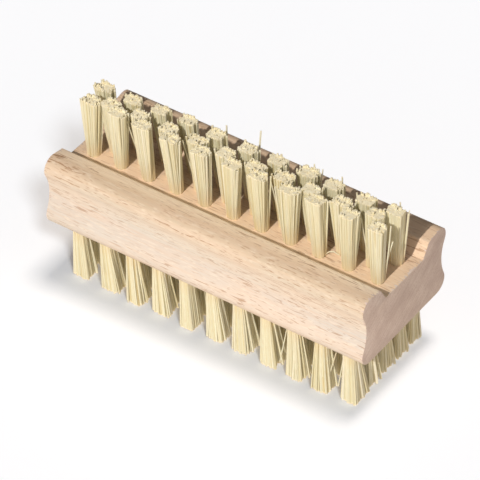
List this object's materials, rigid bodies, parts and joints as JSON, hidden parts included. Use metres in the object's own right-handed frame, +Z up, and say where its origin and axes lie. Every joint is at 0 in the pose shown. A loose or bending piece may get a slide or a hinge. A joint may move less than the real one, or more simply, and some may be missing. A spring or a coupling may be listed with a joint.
{
  "type": "nail brush",
  "caption": "Double-sided wooden nail brush: a moulded block with a sunk bed of staggered bristle tufts on top and rows of tufts under its flat underside.",
  "frame": {"origin": "below the middle of the block, on the level of the lower bristle tips, on which the brush stands", "axes": "+X along the block, +Y across it towards the back ridge, +Z up through the upper bristles"},
  "size_m": [0.095, 0.0368, 0.049],
  "materials": {
    "beech": "raw, sanded, matte",
    "plant_fibre": "stiff pale plant fibre, matte",
    "anchor_wire": "bright drawn wire"
  },
  "bodies": {
    "root": {"wood_block": "beech", "upper_tufts_1": "plant_fibre", "upper_tufts_2": "plant_fibre", "upper_tufts_3": "plant_fibre", "lower_tufts_1": "plant_fibre", "lower_tufts_2": "plant_fibre", "lower_tufts_3": "plant_fibre", "lower_tufts_4": "plant_fibre", "lower_tufts_5": "plant_fibre", "upper_anchors_1": "anchor_wire", "upper_anchors_2": "anchor_wire", "upper_anchors_3": "anchor_wire", "lower_anchors_1": "anchor_wire", "lower_anchors_2": "anchor_wire", "lower_anchors_3": "anchor_wire", "lower_anchors_4": "anchor_wire", "lower_anchors_5": "anchor_wire"}
  },
  "joints": []
}
